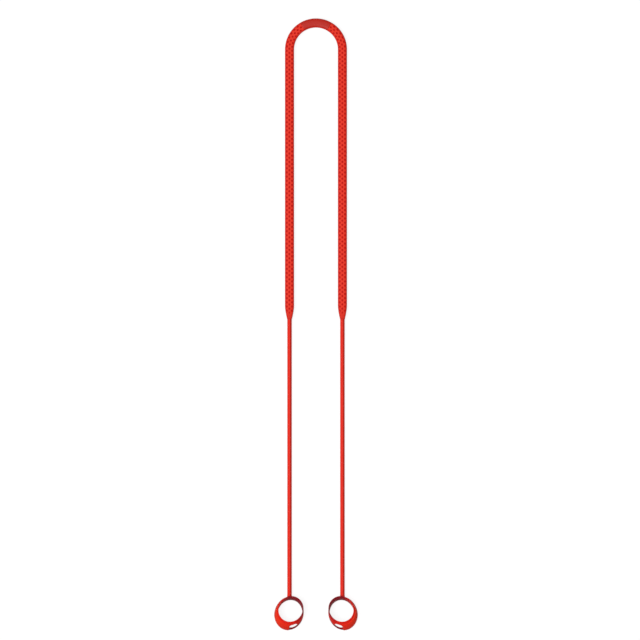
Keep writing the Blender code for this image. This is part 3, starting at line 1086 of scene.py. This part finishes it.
# %% [markdown]
# The steps run from 0 to 1. The last one is the group that gets the full share of each.

# %% Mark the painted shade and light
PAINT_STEPS = 10


def mark_painted_shade_and_light(ring, side):
    full = {}
    for attribute, share_at in (("lining", painted_shade_share), ("pad", painted_light_share)):
        for step in range(PAINT_STEPS + 1):
            share, lowest = step / PAINT_STEPS, (step - 0.5) / PAINT_STEPS
            full[attribute] = mark(ring, attribute, lambda v: share_at(side, v.co) > lowest, share)
    return full


# %% [markdown]
# Each ring is drawn out a little along the diagonal that points at the crown's middle. Shear needs
# a window, but a turn by an eighth, a small stretch and the turn back give the same.

# %% Draw the ring out along its diagonal
DIAGONAL_STRETCH = 0.031
SKEW_MIDDLE = (0.55 * MM, 1.28 * MM)  # towards the other ring, and towards the crown


def draw_out(ring, side):
    middle = Vector((side * (half_spacing - SKEW_MIDDLE[0]), ring_middle_y + SKEW_MIDDLE[1], 0))
    edit(ring)
    choose("VERT", every)
    turn = -side * math.radians(45)
    turn_about(middle, turn)
    scale_about(middle, 1 + DIAGONAL_STRETCH, 1 - DIAGONAL_STRETCH)
    turn_about(middle, -turn)
    alone()


# %% [markdown]
# Both rings are made by the same steps, for `side` -1 and 1, so the right one is the left one's
# mirror image without a mirrored mesh.

# %% Make the two rings
RING_SHARP = math.radians(40)

for name, side in SIDES:
    ring = extruded_ring(f"ring_{name}", side)
    rims = round_rims()
    pad_faces = raise_grip(side)
    alone()
    cutter = slot_cutter(side)
    modify(ring, "BOOLEAN", object=cutter, operation="DIFFERENCE", solver="EXACT")
    bpy.data.objects.remove(cutter)
    soften_edges(ring, RING_SHARP)
    full_painted = mark_painted_shade_and_light(ring, side)
    draw_out(ring, side)
    smooth(ring)
    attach(ring, f"{name}_holder")
    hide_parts(f"holder_{name}")
    print(faces_of(ring), " rim edges:", rims, " pad faces:", pad_faces, " full red:", full_painted)

# %% [markdown]
# ## The necks between cord and ring
#
# A short moulded neck carries on from the cord, swells a little, and runs into the ring's wall. The
# ring twists and tilts there, so the neck follows the stem at its upper end and the ring at its
# lower one. It is the cord's profile stood upright and extruded section by section, and the flat
# side runs on in it.

# %% Make the necks
NECK_SECTIONS = (  # mm below the seam, and how many mm wider than the cord the radius is
    (0.09, 0), (0.4, 0), (0.8, 0), (1.2, 0), (1.6, 0), (2.0, 0.01), (2.4, 0.03), (2.8, 0.06),
    (3.2, 0.1), (3.5, 0.15), (3.8, 0.21), (4.05, 0.25),
)
NECK_BEND = (0.3 * MM, 3.2 * MM)  # it bends from the first of these to the second
WALL_LEAN = math.radians(9.5)  # the ring's wall leans like this, and the neck's end with it

for name, side in SIDES:
    seam = Vector((side * half_spacing, twist_y - CORD_JOINT_GAP, stem_z))
    neck = flattened_circle(f"neck_{name}", cord_radius - CORD_SEAM, FLAT_SIDE_LIFT)
    pick(neck)
    neck.rotation_euler.x, neck.location = math.radians(90), seam
    named(neck.name)
    edit(neck)
    choose("VERT", every)
    bpy.ops.mesh.edge_face_add()
    choose("EDGE", every)
    radius, walked = cord_radius - CORD_SEAM, 0.0
    for drop, wider in NECK_SECTIONS:
        drop, next_radius = drop * MM, cord_radius + wider * MM
        extrude_loop(y=walked - drop)
        scale_about(seam - Vector((0, drop, 0)), next_radius / radius, 1, next_radius / radius)
        radius, walked = next_radius, drop
    turn_about(seam - Vector((0, walked, 0)), WALL_LEAN, "X")
    bpy.ops.mesh.edge_face_add()
    face_outwards()
    alone()
    smooth(neck)
    start, end = (seam - Vector((0, drop, 0)) for drop in NECK_BEND)
    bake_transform(neck, f"{name}_stem", f"{name}_holder", start=start, end=end)
    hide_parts(f"stem_{name}")
    print(faces_of(neck))

# %% [markdown]
# ## The silicone
#
# All of the strap is one red silicone rubber, and only its finish differs: satin where it is
# dimpled, a little smoother on the cords and rings, and darker on the crown's panel, where the
# darker red is a painted reflection. A plain colour would look like paint. Real silicone has faint
# clouds in its pigment, a fine moulded grain, and a sheen that varies where hands have polished it.
# All three are noise on Object coordinates. The attributes add painted shade on the sleeve's flanks,
# in its dimples, at its tips and in the rings' bores, and painted light on the grip pads.

# %% Helpers for nodes
def feed(tree, node, inputs):
    """Gives each of these inputs a value, or a link if it is another node's output."""
    for socket, value in inputs.items():
        if isinstance(value, bpy.types.NodeSocket):
            tree.links.new(value, node.inputs[socket])
        else:
            node.inputs[socket].default_value = value


def add(tree, kind, inputs, **settings):
    """Adds a node and returns its outputs."""
    node = tree.nodes.new(f"ShaderNode{kind}")
    for setting, value in settings.items():
        setattr(node, setting, value)
    feed(tree, node, inputs)
    return node.outputs


def noise(tree, scale, detail=2.0):
    """Soft noise on Object coordinates, with about this many clouds to the metre."""
    place = add(tree, "TexCoord", {})["Object"]
    return add(tree, "TexNoise", {"Vector": place, "Scale": scale, "Detail": detail})["Fac"]


def mixed(tree, first, second, share):
    """The first colour, or as much of the second as this share says."""
    return add(tree, "Mix", {"A": first, "B": second, "Factor": share}, data_type="RGBA")["Result"]


# %% [markdown]
# The nodes are then joined: clouds and the painted shade and light of the attributes into the
# colour, a broad noise into the roughness, and a very fine one into a bump, which is the moulded grain.

# %% A silicone material
CLOUDS, CLOUD_DETAIL = 160, 3.0
POLISH, POLISH_REACH = 420, 0.06
GRAIN, GRAIN_STRENGTH = 5200, 0.5


def silicone(name, colour, shade, roughness, gloss, grain, painted_light_and_shade=()):
    """Red silicone: a colour that clouds towards a darker shade, how rough and how glossy it is,
    and its grain's height. `painted_light_and_shade` are attributes and the painted colour of each."""
    made = bpy.data.materials.new(name)
    made.use_nodes = True
    tree = made.node_tree
    look = mixed(tree, (*colour, 1), (*shade, 1), noise(tree, CLOUDS, CLOUD_DETAIL))
    for attribute, painted_colour in painted_light_and_shade:
        share = add(tree, "Attribute", {}, attribute_name=attribute)["Fac"]
        look = mixed(tree, look, (*painted_colour, 1), share)
    low, high = roughness - POLISH_REACH, roughness + POLISH_REACH
    polish = {"Value": noise(tree, POLISH), "To Min": low, "To Max": high}
    skin = {"Height": noise(tree, GRAIN), "Strength": GRAIN_STRENGTH, "Distance": grain}
    feed(tree, tree.nodes["Principled BSDF"], {
        "Base Color": look,
        "Roughness": add(tree, "MapRange", polish)["Result"],
        "Normal": add(tree, "Bump", skin)["Normal"],
        "Specular IOR Level": gloss,
    })
    return made


# %% [markdown]
# The finishes differ in their reds, in how satin they are and in how high their grain is. A piece's
# finish follows from the first word of its name.

# %% Make the finishes and dress the pieces
FINISHES = {
    "sleeve": silicone(
        "dimpled_silicone", (0.9, 0.042, 0.019), (0.82, 0.035, 0.015), 0.55, 0.14, 0.01 * MM,
        # Painted shade on the flanks, in the dimples and at the tip.
        painted_light_and_shade=[
            ("flank", (0.77, 0.024, 0.011)),
            ("pit", (0.53, 0.003, 0.001)),
            ("tip", (0.66, 0.018, 0.008)),
        ],
    ),
    "lead": silicone(
        "cord_silicone", (0.9, 0.026, 0.01), (0.84, 0.022, 0.009), 0.38, 0.1, 0.006 * MM,
    ),
    "ring": silicone(
        "ring_silicone", (0.83, 0.022, 0.011), (0.77, 0.019, 0.01), 0.5, 0.06, 0.006 * MM,
        # Painted light on the grip pad, painted shade in the ring's bore and beside it.
        painted_light_and_shade=[("pad", (0.97, 0.042, 0.014)), ("lining", (0.27, 0.006, 0.014))],
    ),
    "crown": silicone(
        # The panel's darker red is a painted reflection in its smooth face.
        "panel_silicone", (0.57, 0.02, 0.009), (0.49, 0.016, 0.007), 0.38, 0.18, 0.004 * MM,
    ),
    "core": silicone(
        "core_silicone", (0.6, 0.025, 0.012), (0.5, 0.02, 0.01), 0.6, 0.15, 0.01 * MM,
    ),
}
FINISHES["neck"] = FINISHES["lead"]

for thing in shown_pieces():
    thing.data.materials.clear()
    thing.data.materials.append(FINISHES[thing.name.split("_")[0]])
    print(f"{thing.name}: {thing.active_material.name}")

# %% [markdown]
# ## The surface and the light
#
# A large soft lamp hangs high above the strap, off to the left and a little towards the rings. It
# lights the left of every round form, and the pale surroundings fill the rest, so that each cord's
# flat side falls off into a deeper red. What the camera sees of the surface is lifted to white
# without lighting the strap any more, and it still takes the strap's soft shadow.

# %% A strength for what is seen directly
def seen_directly(tree, base, lift):
    """A strength: this base, and this much more where the surface is looked at or mirrored."""
    rays = add(tree, "LightPath", {})
    seen = rays["Is Camera Ray"]
    for ray in ("Is Glossy Ray", "Is Transmission Ray"):
        seen = add(tree, "Math", {0: seen, 1: rays[ray]}, operation="MAXIMUM")["Value"]
    return add(tree, "Math", {0: seen, 1: lift, 2: base}, operation="MULTIPLY_ADD")["Value"]


# %% [markdown]
# The floor's own colour is dim, so that it throws little light up at the strap's sides, and the
# lift makes up its white. It lies a hair below the strap, so that no two faces share one place.

# %% Make the floor
FLOOR_SIZE = 6.0
FLOOR_GAP = 0.03 * MM
FLOOR_SHADE, FLOOR_LIFT = 0.18, 0.87
FLOOR_ROUGHNESS, FLOOR_GLOSS = 0.9, 0.1
WHITE = (1, 1, 1, 1)

alone()
bpy.ops.mesh.primitive_plane_add(size=FLOOR_SIZE, location=(0, 0, -FLOOR_GAP))
floor = named("floor")
surface = bpy.data.materials.new("white_surface")
surface.use_nodes = True
feed(surface.node_tree, surface.node_tree.nodes["Principled BSDF"], {
    "Base Color": (FLOOR_SHADE, FLOOR_SHADE, FLOOR_SHADE, 1),
    "Roughness": FLOOR_ROUGHNESS,
    "Specular IOR Level": FLOOR_GLOSS,
    "Emission Color": WHITE,
    "Emission Strength": seen_directly(surface.node_tree, 0.0, FLOOR_LIFT),
})
floor.data.materials.append(surface)
print("floor, m:", list(floor.dimensions[:2]))

# %% [markdown]
# One area lamp is enough. A quaternion turns its face, which looks along its own -Z, to the strap.

# %% Light it
LAMP_PLACE = Vector((-0.5, -0.12, 1.41))
LAMP_SIZE, LAMP_WATTS = 1.0, 15.6
SURROUNDINGS = 0.35  # how brightly the pale room fills the strap's shaded sides

bpy.ops.object.light_add(type="AREA", location=LAMP_PLACE)
lamp = bpy.context.active_object
lamp.name = "key_lamp"
lamp.data.size, lamp.data.energy = LAMP_SIZE, LAMP_WATTS
lamp.rotation_mode = "QUATERNION"
lamp.rotation_quaternion = (-LAMP_PLACE).to_track_quat("-Z", "Y")
world = bpy.context.scene.world or bpy.data.worlds.new("studio")
bpy.context.scene.world = world
world.use_nodes = True
brightness = seen_directly(world.node_tree, SURROUNDINGS, 1 - SURROUNDINGS)
background = world.node_tree.nodes["Background"]
feed(world.node_tree, background, {"Color": WHITE, "Strength": brightness})
print("lamp to strap, m:", round(LAMP_PLACE.length, 2))

# %% [markdown]
# ## The colours
#
# The colours are shown as they are, without a filmic curve.

# %% Show colours plainly
bpy.context.scene.view_settings.view_transform = "Standard"
